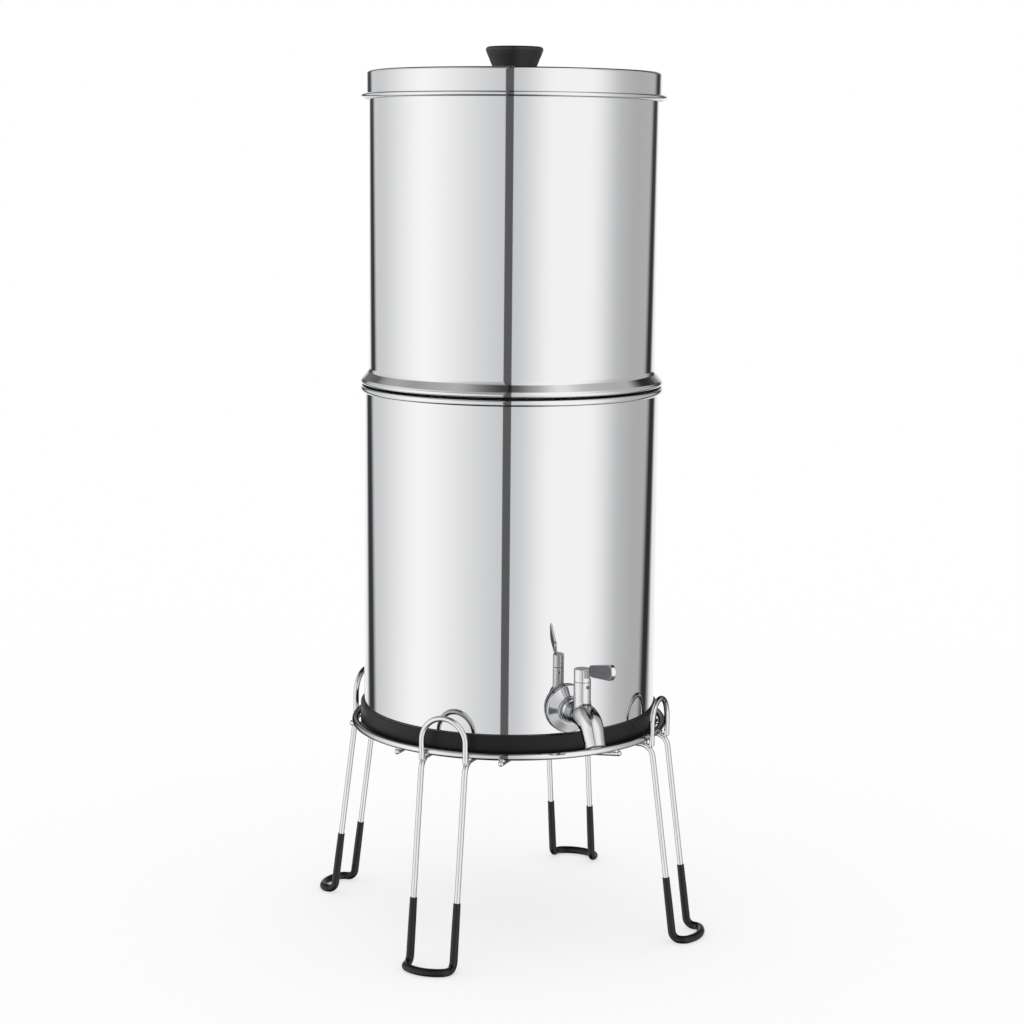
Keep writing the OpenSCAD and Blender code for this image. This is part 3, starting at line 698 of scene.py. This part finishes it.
def housing_skin():
    """Upright valve housing with its socket: a cylinder whose foot spreads on a fillet into the body.

    The body's crown over a point (s, w) lies where its circle of radius R reaches sqrt(R^2 - w^2) up from
    the centre line. The fillet is a quadratic curve from the crown at r + g to the housing's wall g above it.
    """
    r, g, top = 5.95, 2.5, SEAM_Z - TAP_Z
    socket, socket_z = 3.2, 20.0
    line, radius = spout_line()
    up = line_up(line)
    f = np.linspace(0, TURN, 96, endpoint=False)

    def crown(rho):
        height = []
        for s, w in zip(VALVE_S + rho * np.cos(f), rho * np.sin(f)):
            reach = np.sqrt(np.maximum(radius ** 2 - w ** 2, 0.04))
            height.append(np.interp(s, line[:, 0] + reach * up[:, 0], line[:, 1] + reach * up[:, 1]) - TAP_Z)
        return np.array(height)

    t = np.linspace(0, 1, 12)[:, None]
    p0 = np.stack([r + g + 0 * f, crown(r + g) - 0.15], -1)
    p1 = np.stack([r + 0 * f, crown(r) + 0.1], -1)
    p2 = np.stack([r + 0 * f, crown(r) + g], -1)
    fillet = ((1 - t) ** 2)[..., None] * p0 + (2 * t * (1 - t))[..., None] * p1 + (t ** 2)[..., None] * p2
    wall = rounded([(r, 13.5), (r, top, 0.35), (socket, top), (socket, socket_z)], 5)
    wall = np.repeat(wall[:, None], len(f), 1)
    rows = np.concatenate([fillet, wall])
    rho, h = rows[..., 0], rows[..., 1]
    rings = tap_point(VALVE_S + rho * np.cos(f), rho * np.sin(f), TAP_Z + h)
    return closed_grid(rings[:, ::-1], last_pole=[tap_point(VALVE_S, 0.0, TAP_Z + socket_z)])


def thread_skin(radius, depth, pitch, z0, z1, cols=72):
    """Screwed rod round +Z: radius less depth times a triangle wave of (z / pitch - turn fraction)."""
    z = np.arange(z0, z1 + pitch / 12, pitch / 6)[:, None]
    f = np.linspace(0, 1, cols, endpoint=False)[None]
    wave = np.abs(((z / pitch - f) % 1) - 0.5) * 2
    r = radius - depth * wave * np.clip((z - z0) / pitch, 0, 1) * np.clip((z1 - z) / pitch, 0, 1)
    r[[0, -1]] = radius - depth
    rings = np.stack([r * np.cos(TURN * f), r * np.sin(TURN * f), z + 0 * f], -1)
    return closed_grid(rings, [[0, 0, z[0, 0]]], [[0, 0, z[-1, 0]]])


def nut_skin(across, height, bore):
    """Hexagon nut round +Z from 0: at angle f the flat lies at across / (2 cos(f mod 60 - 30)), cut back
    by a cone at both faces."""
    cols = 144
    f = np.linspace(0, TURN, cols, endpoint=False)
    flat = across / 2 / np.cos((f % (math.pi / 3)) - math.pi / 6)
    limit = across / 2 * 1.02
    drop = np.maximum(flat - limit, 0) * 0.55
    low = [np.minimum(flat, limit), flat, flat, np.minimum(flat, limit)]
    high = [0 * f, drop, height - drop, height + 0 * f]
    inner = rounded([(limit, height), (bore, height, 0.6), (bore, 0, 0.6), (limit, 0)], 4)[1:-1]
    r = np.concatenate([np.stack(low), np.repeat(inner[:, :1], cols, 1)])
    z = np.concatenate([np.stack(high), np.repeat(inner[:, 1:], cols, 1)])
    return closed_grid(np.stack([r * np.cos(f), r * np.sin(f), z], -1), wrap_rows=True)


def tap_body_skin():
    """Spout and housing, the collar against the plate, and the screwed shank through the wall."""
    s, rim = PLATE_S, PLATE_S + 1.5
    profile = rounded([(6, s, 0.2), (9.9, s, 0.2), (9.9, rim, 0.45), (9.2, rim, 0.35), (8.5, s + 0.5, 0.2),
                       (6, s + 0.5, 0.2)], 6, closed=True)
    collar = lathe(profile, 144, closed=True)
    shank = thread_skin(8.0, 0.55, 1.5, 91.0, 115.6)
    return joined(spout_skin(), housing_skin(), shifted(moved(collar, ALONG_TAP), 0, 0, BODY_Z - TAP_Z),
                  moved(shank, ALONG_TAP))


def escutcheon_skin():
    """Cover plate round the tap's line: a band at the wall, a cone forward to the collar, a boss behind."""
    profile = rounded([(8.2, 109.95), (10.4, 109.95, 0.5), (10.4, 113.9, 0.3), (16.0, 111.4, 0.3),
                       (16.0, 108.5, 0.2), (17.0, 108.5, 0.3), (17.0, 112.1, 0.8), (10.3, PLATE_S, 0.4),
                       (8.2, PLATE_S)], 8, closed=True)
    return shifted(moved(lathe(profile, 200, closed=True), ALONG_TAP), 0, 0, BODY_Z - TAP_Z)


def section(half_w, half_h, radius):
    """Rounded rectangle: a quarter arc about each inner corner; sizes may be arrays, one per row."""
    half_w, half_h, radius = (np.asarray(v, float)[..., None] for v in (half_w, half_h, radius))
    a = np.radians(np.linspace(0, 90, 6))
    xs, ys = [], []
    for q, (sx, sy) in enumerate(((1, 1), (-1, 1), (-1, -1), (1, -1))):
        f = a + q * math.pi / 2
        xs.append(sx * (half_w - radius) + radius * np.cos(f))
        ys.append(sy * (half_h - radius) + radius * np.sin(f))
    return np.concatenate(xs, -1), np.concatenate(ys, -1)


def paddle(u, low, high, half_t, edge, round_end):
    """Bar along u whose rounded-rectangle section spans low..high in height and half_t to each side."""
    u, low, high, half_t = (np.asarray(v, float) for v in (u, low, high, half_t))
    a = np.radians(np.linspace(0, 84, 8))
    shrink = round_end * (1 - np.cos(a))
    u = np.concatenate([u, u[-1] + round_end * np.sin(a[1:])])
    low = np.concatenate([low, low[-1] + shrink[1:]])
    high = np.concatenate([high, high[-1] - shrink[1:]])
    half_t = np.concatenate([half_t, half_t[-1] - shrink[1:]])
    mid, half_h = (low + high) / 2, (high - low) / 2
    w, h = section(half_t, half_h, np.minimum(edge, 0.98 * np.minimum(half_t, half_h)))
    rings = tap_point(VALVE_S + u[:, None], w, SEAM_Z + mid[:, None] + h)
    start = tap_point(VALVE_S + u[0], 0.0, SEAM_Z + mid[0])
    end = tap_point(VALVE_S + u[-1] + 0.05, 0.0, SEAM_Z + mid[-1])
    return closed_grid(rings[:, ::-1], [start], [end])


def blade_outline(inset):
    """Outline of the blade drawn in by inset: the band round three circles (u, h, radius)."""
    circles = np.array([(17.95, 11.0, 4.2), (45.2, 15.1, 4.8), (46.7, 16.8, 4.7)])
    out = []
    for i in range(3):
        before, here, after = circles[i - 1], circles[i], circles[(i + 1) % 3]
        ends = []
        for p, q in ((before, here), (here, after)):
            step = q[:2] - p[:2]
            tilt = math.acos((p[2] - q[2]) / np.hypot(*step))
            ends.append(math.atan2(step[1], step[0]) - tilt)
        sweep = (ends[1] - ends[0]) % TURN
        a = ends[0] + np.linspace(0, sweep, max(4, round(sweep * 16)))
        out.append(here[:2] + (here[2] - inset) * np.stack([np.cos(a), np.sin(a)], -1))
    gaps = [np.linspace(p[-1], q[0], 14)[1:-1] for p, q in zip(out, out[1:] + out[:1])]
    return np.vstack([part for pair in zip(out, gaps) for part in pair])


def blade_skin(half_t, edge):
    """Flat blade of thickness 2 half_t whose edges turn over on a radius, drawn in by edge (1 - cos a)."""
    a = np.radians(np.linspace(90, 0, 7))
    inset = np.concatenate([[edge + 0.3], edge * (1 - np.cos(a))])
    side = np.concatenate([[half_t], half_t - edge + edge * np.sin(a)])
    inset, side = np.concatenate([inset, inset[::-1]]), np.concatenate([side, -side[::-1]])
    rows = np.stack([blade_outline(d) for d in inset])
    rings = tap_point(VALVE_S + rows[..., 0], side[:, None], SEAM_Z + rows[..., 1])
    poles = [[tap_point(VALVE_S + 32.5, w, SEAM_Z + 13.9)] for w in (half_t, -half_t)]
    return closed_grid(rings, *poles)


def lever_skin():
    """Cap over the valve, a short neck and the flat blade that rises outwards."""
    cap = lathe(rounded([(0, 0.15), (5.95, 0.15, 0.25), (5.95, 9.1, 0.7), (0, 9.1)], 6), 120)
    cap = shifted(cap, 0, -VALVE_S, SEAM_Z)
    u = np.linspace(3.5, 15.5, 13)
    neck = paddle(u, np.interp(u, [3.5, 6.5, 9, 15.5], [2.6, 3.4, 4.0, 5.2]),
                  np.interp(u, [3.5, 7, 10, 15.5], [8.2, 8.9, 9.5, 10.8]), 1.4 + 0 * u, 0.8, 0.3)
    return joined(cap, neck, blade_skin(1.7, 0.6))


# ---- inside ----

# Top of the washers on the upper chamber's floor, and of the carbon blocks; places of what hangs there
SEAL_Z, ELEMENT_TOP = FLOOR_Z + WALL + 2.0, FLOOR_Z + WALL + 198.7
SIDES = (-46, 46)


def element_block_skin():
    """Pressed tube of carbon with broken edges, a rectangle with rounded corners turned round +Z."""
    low, high = FLOOR_Z + WALL + 12.7, ELEMENT_TOP
    profile = rounded([(9, low, 0.5), (28, low, 0.8), (28, high, 0.8), (9, high, 0.5)], 4, closed=True)
    return lathe(profile, 128, closed=True)


def element_top_skin():
    """Closed cap turned round +Z: a skirt over the block's edge and a shallow dish on top."""
    z = ELEMENT_TOP
    return lathe(rounded([(0, z), (28.1, z, 0.1), (28.1, z - 5, 0.2), (29, z - 5, 0.3), (29, z + 7, 1.6),
                          (20, z + 7, 0.8), (18.5, z + 6, 0.8), (0, z + 6)], 5), 128)


def element_base_skin():
    """Cup that holds the block, with a flange and a screwed stem through the chamber's floor."""
    z = SEAL_Z
    cup = lathe(rounded([(0, z), (29.5, z, 1.2), (29.5, z + 15.7, 0.4), (28.1, z + 15.7, 0.3),
                         (28.1, z + 10.7, 0.2), (0, z + 10.7)], 5), 128)
    return joined(cup, thread_skin(5.0, 0.5, 1.5, FLOOR_Z - 24, z + 1, 48))


def wing_nut_skin():
    """Hub with two upright wings, each a flattened ellipsoid."""
    profile = rounded([(5.1, -8, 0.4), (8.5, -8, 0.6), (7.6, 0, 0.4), (5.1, 0, 0.4)], 4, closed=True)
    hub = lathe(profile, 64, closed=True)
    wings = [blob((side * 11.8, 0, -6.6), [[5.6, 0, 0], [0, 1.6, 0], [side * 1.2, 0, 5.2]], 14, 20)
             for side in (-1, 1)]
    return shifted(joined(hub, *wings), 0, 0, FLOOR_Z)


def blank_plug_skin():
    """Plug for a spare hole: a round head turned round +Z and a screwed stem below it."""
    z = SEAL_Z
    head = lathe(rounded([(0, z), (9, z, 0.4), (9, z + 4, 1.2), (0, z + 4)], 5), 80)
    return joined(head, thread_skin(5.0, 0.5, 1.5, FLOOR_Z - 14, z + 1, 48))


# ---- camera, light and floor ----

# The camera stands at an angle to the left of the tap's side, out from the axis and up, and looks down
CAMERA_TURN, CAMERA_OUT, CAMERA_UP = math.radians(-22.5), 1.652, 0.5654


def place_camera():
    """Camera 1.65 m from the axis and 0.57 m up, to the left of the tap, with a short telephoto lens."""
    pitch, roll = math.radians(7.636), math.radians(0.514)
    data = bpy.data.cameras.new("camera")
    data.sensor_width, data.lens = 36.0, 79.33
    data.shift_x, data.shift_y = 0.001, -0.05
    camera = bpy.data.objects.new("camera", data)
    bpy.context.scene.collection.objects.link(camera)
    place = (CAMERA_OUT * math.sin(CAMERA_TURN), -CAMERA_OUT * math.cos(CAMERA_TURN), CAMERA_UP)
    camera.matrix_world = (Matrix.Translation(place) @ Matrix.Rotation(CAMERA_TURN, 4, "Z")
                           @ Matrix.Rotation(math.pi / 2 - pitch, 4, "X") @ Matrix.Rotation(roll, 4, "Z"))
    bpy.context.scene.camera = camera


# Studio round the object, as angles from the camera's side, left negative. A card is (start, softness,
# end, softness, red, green, blue): its light is added to the plain wall's, and a negative one takes
# light away.
WALL_LIGHT = (0.80, 0.80, 0.80)
CARDS = ((-103.5, 66, -36.5, 86, 0.545, 0.530, 0.500),
         (16, 35, 76.5, 36, 0.495, 0.482, 0.458),
         (93, 46, 146, 6, -0.225, -0.231, -0.242),
         (-220, 4, -152, 10, 0.24, 0.24, 0.24),
         (147, 10, 220, 4, 0.24, 0.24, 0.24))
# A flag is (middle, its shift per unit of bend, half width, softness, share of light kept, what it keeps
# more per unit of the ray's rise). bend is the ray's rise, at least BEND_LOW and then at most the line
# BEND_FALL, which is a slope and the value at a level ray.
FLAGS = ((-3.3, 0, 3.1, 0.6, 0.16, 0.0), (-152.6, -54, 7.6, 10, 0.05, 0.6), (148.8, 66, 7.6, 11, 0.05, 0.05),
         (171, 0, 16, 12, 1.0, -2.3))
BEND_LOW, BEND_FALL = -0.3, (-0.47, 0.084)
# The rise of the ray at which the wall and the cards go dark overhead, and at which the floor does; from
# FLOOR_RIGHT on to the right the floor stays bright for another FLOOR_SHIFT of rise
WALL_TOP, CARD_TOP, FLOOR_DARK = (0.985, 0.88), (0.995, 0.905), (-0.92, -0.5)
FLOOR_RIGHT, FLOOR_SHIFT = (10, 60), 0.16
# On the left a dim soffit hangs over the cards, and behind the object the wall ends lower
SOFFIT_LEFT, SOFFIT_TOP, SOFFIT_LIGHT = (4, -10), (0.5, 0.72), 0.45
BACK_LEFT, BACK_LEFT_DIM, BACK_RIGHT, BACK_TOP = (-112, -146), 0.85, (124, 144), (0.2, 0.6)
DARK = (0.012, 0.012, 0.013)


def light_world():
    """White for the camera, even white for matt surfaces, and the studio's cards and black flags for gloss.

    A card's share is the product of two smooth steps on the angle of the ray's direction round the
    vertical. A flag keeps its share of the light within its half width. Straight overhead it is dark, the
    cards reaching higher than the wall, and so is the shaded floor right below.
    """
    world = bpy.data.worlds.new("studio")
    bpy.context.scene.world = world
    world.use_nodes = True
    tree = world.node_tree
    tree.nodes.clear()
    ramp, smooth = "MapRange", {"interpolation_type": "SMOOTHSTEP"}
    coords = add(tree, "TexCoord")
    turned = add(tree, "VectorRotate", {"Vector": coords.outputs["Generated"], "Angle": -CAMERA_TURN},
                 rotation_type="Z_AXIS")
    x, y, rise = add(tree, "SeparateXYZ", [turned]).outputs
    held = add(tree, "Math", [rise, BEND_LOW], operation="MAXIMUM")
    falling = add(tree, "Math", [rise, *BEND_FALL], operation="MULTIPLY_ADD")
    bend = add(tree, "Math", [held, falling], operation="MINIMUM")
    ahead = add(tree, "Math", [y, -1.0], operation="MULTIPLY")
    angle = add(tree, "Math", [x, ahead], operation="ARCTAN2")
    angle = add(tree, "Math", [angle, 180 / math.pi], operation="MULTIPLY")

    wall = add(tree, ramp, [rise, *WALL_TOP], **smooth)
    light = add(tree, "VectorMath", {0: WALL_LIGHT, "Scale": wall}, operation="SCALE")
    card_top = add(tree, ramp, [rise, *CARD_TOP], **smooth)
    for start, soft_in, end, soft_out, *colour in CARDS:
        first = add(tree, ramp, [angle, start - soft_in / 2, start + soft_in / 2], **smooth)
        last = add(tree, ramp, [angle, end + soft_out / 2, end - soft_out / 2], **smooth)
        share = add(tree, "Math", [first, last], operation="MULTIPLY")
        share = add(tree, "Math", [share, card_top], operation="MULTIPLY")
        light = add(tree, "VectorMath", [share, colour, light], operation="MULTIPLY_ADD")
    for middle, lean, half, soft, keep, veil in FLAGS:
        centre = add(tree, "Math", [bend, lean, middle], operation="MULTIPLY_ADD")
        away = add(tree, "Math", [angle, centre], operation="SUBTRACT")
        away = add(tree, "Math", [away], operation="ABSOLUTE")
        above = add(tree, "Math", [rise, 0.0], operation="MAXIMUM")
        least = add(tree, "Math", [above, veil, keep], operation="MULTIPLY_ADD")
        lit = add(tree, ramp, [away, half - soft / 2, half + soft / 2], **smooth)
        lit = add(tree, "Math", [lit, least], operation="MAXIMUM")
        light = add(tree, "VectorMath", {0: light, "Scale": lit}, operation="SCALE")

    soffit_left = add(tree, ramp, [angle, *SOFFIT_LEFT], **smooth)
    soffit_top = add(tree, ramp, [rise, *SOFFIT_TOP], **smooth)
    soffit = add(tree, "Math", [soffit_left, soffit_top], operation="MULTIPLY")
    soffit = add(tree, "Math", [soffit, SOFFIT_LIGHT - 1, 1.0], operation="MULTIPLY_ADD")
    back_left = add(tree, ramp, [angle, *BACK_LEFT], **smooth)
    back_right = add(tree, ramp, [angle, *BACK_RIGHT], **smooth)
    back_top = add(tree, ramp, [rise, *BACK_TOP], **smooth)
    behind = add(tree, "Math", [back_left, BACK_LEFT_DIM, back_right], operation="MULTIPLY_ADD")
    behind = add(tree, "Math", [behind, back_top], operation="MULTIPLY")
    behind = add(tree, "Math", [1.0, behind], operation="SUBTRACT")
    floor_right = add(tree, ramp, [angle, *FLOOR_RIGHT], **smooth)
    floor_rise = add(tree, "Math", [floor_right, FLOOR_SHIFT, rise], operation="MULTIPLY_ADD")
    floor_dark = add(tree, ramp, [floor_rise, *FLOOR_DARK], **smooth)
    dim = add(tree, "Math", [soffit, floor_dark], operation="MULTIPLY")
    dim = add(tree, "Math", [behind, dim], operation="MULTIPLY")
    light = add(tree, "VectorMath", {0: light, "Scale": dim}, operation="SCALE")
    light = add(tree, "VectorMath", [light, DARK], operation="ADD")

    path = add(tree, "LightPath")
    seen = add(tree, "Mix", {"Factor": path.outputs["Is Glossy Ray"], "A": (1, 1, 1, 1), "B": light},
               data_type="RGBA")
    sky = add(tree, "Background", {"Color": seen, "Strength": 1.0})
    add(tree, "OutputWorld", {"Surface": sky})


def lay_floor():
    """Pale sweep under the stand: takes the soft shadow, and shows the studio itself in gloss."""
    half = 4.0
    corners = [(-half, -half, 0), (half, -half, 0), (half, half, 0), (-half, half, 0)]
    mesh = bpy.data.meshes.new("floor")
    mesh.from_pydata(corners, [], [(0, 1, 2, 3)])
    floor = bpy.data.objects.new("floor", mesh)
    bpy.context.scene.collection.objects.link(floor)
    material = bpy.data.materials.new("paper_sweep_white")
    material.use_nodes = True
    tree = material.node_tree
    tree.nodes.clear()
    paper = add(tree, "BsdfDiffuse", {"Color": (1, 1, 1, 1)})
    white = add(tree, "Emission", {"Strength": 1.0})
    clear = add(tree, "BsdfTransparent")
    path = add(tree, "LightPath")
    lit = add(tree, "Math", [path.outputs["Is Camera Ray"], 0.6], operation="MULTIPLY")
    seen = add(tree, "MixShader", [lit, paper, white])
    mix = add(tree, "MixShader", [path.outputs["Is Glossy Ray"], seen, clear])
    add(tree, "OutputMaterial", {"Surface": mix})
    mesh.materials.append(material)


place_camera()
light_world()
lay_floor()
bpy.context.scene.view_settings.view_transform = "Standard"

# ---- the object ----

piece("lid_spun", lid_skin(), SHEET, "lid", "polished_steel", "lid")
piece("lid_knob_moulded", knob_skin(), PHENOLIC, "lid", "knob_black", "lid_knob")
piece("upper_chamber_drawn", upper_chamber_skin(), SHEET, "upper_vessel", "polished_steel", "upper_chamber")
piece("lower_chamber_drawn", lower_chamber_skin(), SHEET, "lower_vessel", "polished_steel", "lower_chamber")
piece("base_channel", base_ring_skin(), RUBBER, "lower_vessel", "rubber_black", "base_ring")

piece("tap_casting", tap_body_skin(), CHROME, "lower_vessel", "chrome", "tap_body")
piece("tap_cover_plate", escutcheon_skin(), CHROME, "lower_vessel", "chrome", "tap_escutcheon")
piece("tap_handle", lever_skin(), BRUSHED_PAINTED_DARK, "tap_valve", "chrome", "tap_lever")
lock_nut = moved(shifted(nut_skin(23.9, 7.0, 8.05), 0, 0, LOW_R - 11.6), ALONG_TAP)
piece("shank_nut", lock_nut, STEEL, "lower_vessel", "steel", "tap_lock_nut")

ring = lathe(arc(RING_R, RING_Z, RING_D / 2, 0, 360, 32)[:-1], 320, closed=True)
piece("stand_ring", ring, WIRE, "stand", "chrome", "support_ring")
piece("stand_bars_upper", bar_skin(BAR_OFF, BAR_Z, 45), WIRE, "stand", "chrome", "cross_bars_upper")
low_bars = bar_skin(BAR_LOW_OFF, BAR_LOW_Z, 135, BAR_LOW_RISE)
piece("stand_bars_lower", low_bars, WIRE, "stand", "chrome", "cross_bars_lower")
piece("stand_welds", weld_skin(), WIRE, "stand", "chrome")
for place, turn in LEG_TURNS.items():
    inner = 43.0 if place in ("front_left", "back_right") else 41.7
    piece("leg_wire_" + place, spun(leg_skin(inner), turn), WIRE, "stand", "chrome", "leg_" + place)
    piece("hoop_" + place, spun(arch_skin(), turn), WIRE, "stand", "chrome", "arch_" + place)
    piece("dip_" + place, spun(sleeve_skin(), turn), VINYL, "stand", "sleeve_black", "sleeve_" + place)

ELEMENT = (("block_", element_block_skin(), CARBON, "carbon"), ("top_", element_top_skin(), CAP, "cap_black"),
           ("base_", element_base_skin(), CAP, "cap_black"))
for place, x in zip(("left", "right"), SIDES):
    for part, skin, material, slot in ELEMENT:
        name = part + place
        piece(name, shifted(skin, x, 0, 0), material, "upper_vessel", slot, "filter_" + name)
wing_nuts = joined(*(shifted(wing_nut_skin(), x, 0, 0) for x in SIDES))
plugs = joined(*(shifted(blank_plug_skin(), 0, y, 0) for y in SIDES))
plug_nuts = joined(*(shifted(nut_skin(17.0, 8.0, 5.05), 0, y, FLOOR_Z - 8) for y in SIDES))
piece("wing_nut_pair", wing_nuts, NYLON, "upper_vessel", "nylon_white", "wing_nuts")
piece("blank_plug_pair", plugs, NYLON, "upper_vessel", "nylon_white", "blanking_plugs")
piece("plug_nut_pair", plug_nuts, NYLON, "upper_vessel", "nylon_white", "plug_nuts")

dress(SILICONE, "stem_washers", "plug_washers", "tap_outer_washer", "tap_inner_washer")
dress(STEEL, "knob_washer", "knob_screw")
dress(BRASS, "knob_insert", "tap_plug")
dress(RUBBER, "plug_rings")
dress(DARK_STEEL, "tap_pin", "lever_screw")
